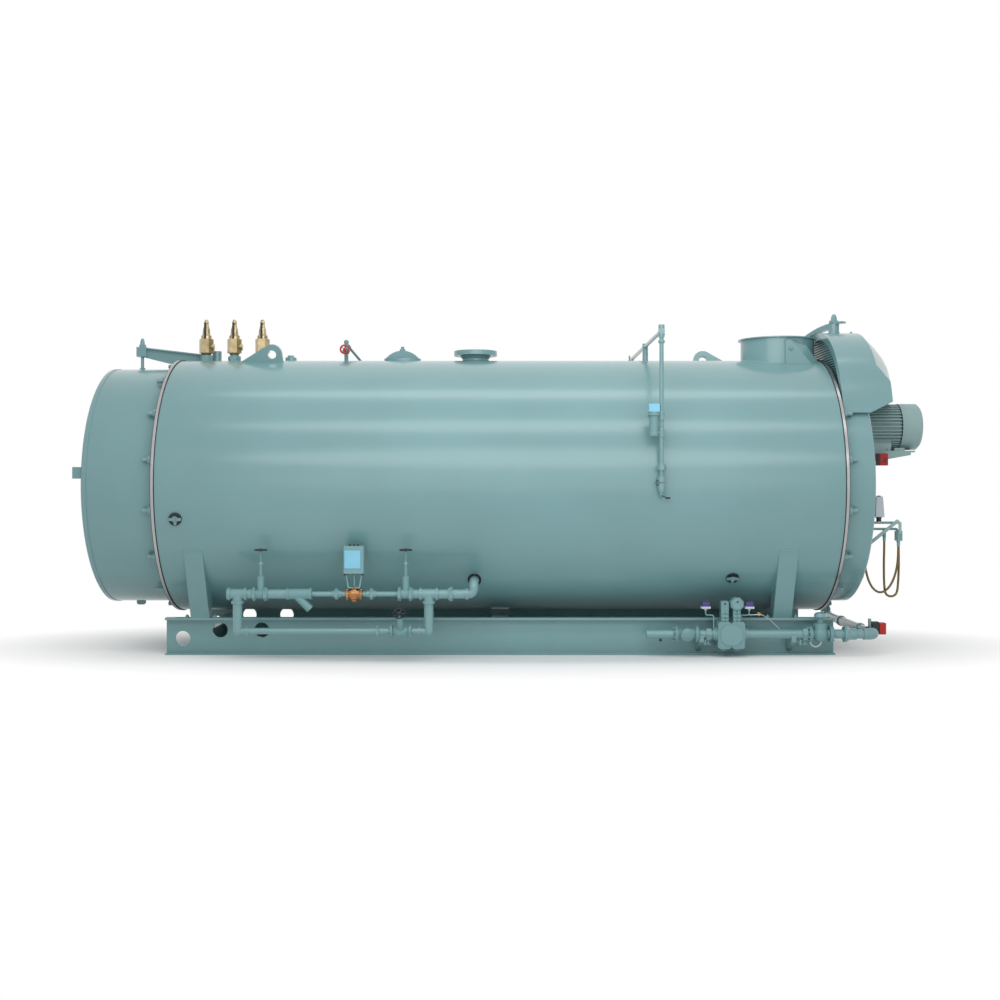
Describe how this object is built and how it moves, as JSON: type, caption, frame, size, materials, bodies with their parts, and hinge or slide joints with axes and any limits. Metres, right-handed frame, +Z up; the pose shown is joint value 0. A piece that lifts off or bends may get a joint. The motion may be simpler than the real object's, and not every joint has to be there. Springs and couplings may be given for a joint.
{
  "type": "industrial boiler",
  "caption": "Packaged horizontal fire-tube steam boiler on a skid base, with burner fan hood, feedwater and gas valve trains, safety valves and flue outlet.",
  "frame": {"origin": "on the floor under the middle of the shell, at the underside of the middle cross member", "axes": "+X along the shell to the burner front, -Y to the side with the valve trains, +Z up"},
  "size_m": [8.355, 2.8636, 3.414],
  "materials": {
    "teal_paint": "semi-gloss enamel",
    "stainless": "polished band",
    "brass": "bright cast and machined brass",
    "black_paint": "black enamel",
    "red_paint": "red enamel",
    "blue_cover": "light blue cover",
    "purple_cover": "purple-blue cover",
    "grey_paint": "light grey enamel",
    "zinc": "zinc plated",
    "braid": "braided bronze wire over a hose"
  },
  "bodies": {
    "boiler": {"base_rail_far": "teal_paint", "base_rail_near": "teal_paint", "bypass_valve": "teal_paint", "column_pipes": "teal_paint", "control_valve": "brass", "cross_members": "teal_paint", "fan_hood": "teal_paint", "fan_motor": "teal_paint", "feed_actuator": "teal_paint", "feed_pipes": "teal_paint", "flue_duct": "teal_paint", "front_davit": "teal_paint", "front_head": "teal_paint", "gas_actuators": "teal_paint", "gas_brackets": "teal_paint", "gas_butterfly_valve": "teal_paint", "gas_control_valve": "black_paint", "gas_motor": "red_paint", "gas_pipes": "teal_paint", "gas_plug_valve": "teal_paint", "gas_valve_block": "teal_paint", "gate_valves": "teal_paint", "handhole_covers": "black_paint", "hood_cover": "teal_paint", "hose_narrow": "braid", "hose_wide": "braid", "impulse_tubes": "teal_paint", "intake_louvres": "teal_paint", "jacket_shell": "teal_paint", "level_box": "blue_cover", "level_chamber": "teal_paint", "lifting_lugs": "teal_paint", "manway_cover": "teal_paint", "manway_frame": "teal_paint", "manway_yoke": "teal_paint", "motor_bracket": "teal_paint", "pilot_pipes": "teal_paint", "pilot_solenoid": "grey_paint", "pilot_strut": "zinc", "pressure_switches": "purple_cover", "rear_davit": "teal_paint", "rear_head": "teal_paint", "saddle_front": "teal_paint", "saddle_rear": "teal_paint", "safety_levers": "black_paint", "safety_nozzles": "teal_paint", "safety_valves": "brass", "stack_outlet": "teal_paint", "steam_nozzle": "teal_paint", "strainer": "teal_paint", "switch_box": "red_paint", "top_plug": "teal_paint", "trim_rings": "stainless", "vent_valve": "teal_paint"},
    "vent_handwheel": {"vent_wheel": "red_paint"},
    "rear_gate_handwheel": {"gate_wheel_rear": "black_paint"},
    "front_gate_handwheel": {"gate_wheel_front": "black_paint"},
    "bypass_handwheel": {"bypass_wheel": "black_paint"}
  },
  "joints": [
    {"name": "vent_turn", "type": "hinge", "parent": "boiler", "child": "vent_handwheel", "pos_m": [-1.59, -0.136, 3.038], "axis": [0, -1, 0], "range_deg": [0, 1770]},
    {"name": "rear_gate_turn", "type": "hinge", "parent": "boiler", "child": "rear_gate_handwheel", "pos_m": [-2.237, -1.28, 1.028], "axis": [0, 0, 1], "range_deg": [0, 4050]},
    {"name": "front_gate_turn", "type": "hinge", "parent": "boiler", "child": "front_gate_handwheel", "pos_m": [-0.881, -1.28, 1.028], "axis": [0, 0, 1], "range_deg": [0, 4050]},
    {"name": "bypass_turn", "type": "hinge", "parent": "boiler", "child": "bypass_handwheel", "pos_m": [-0.928, -1.45041, 0.45541], "axis": [0, -0.7071, 0.7071], "range_deg": [0, 2610]}
  ]
}
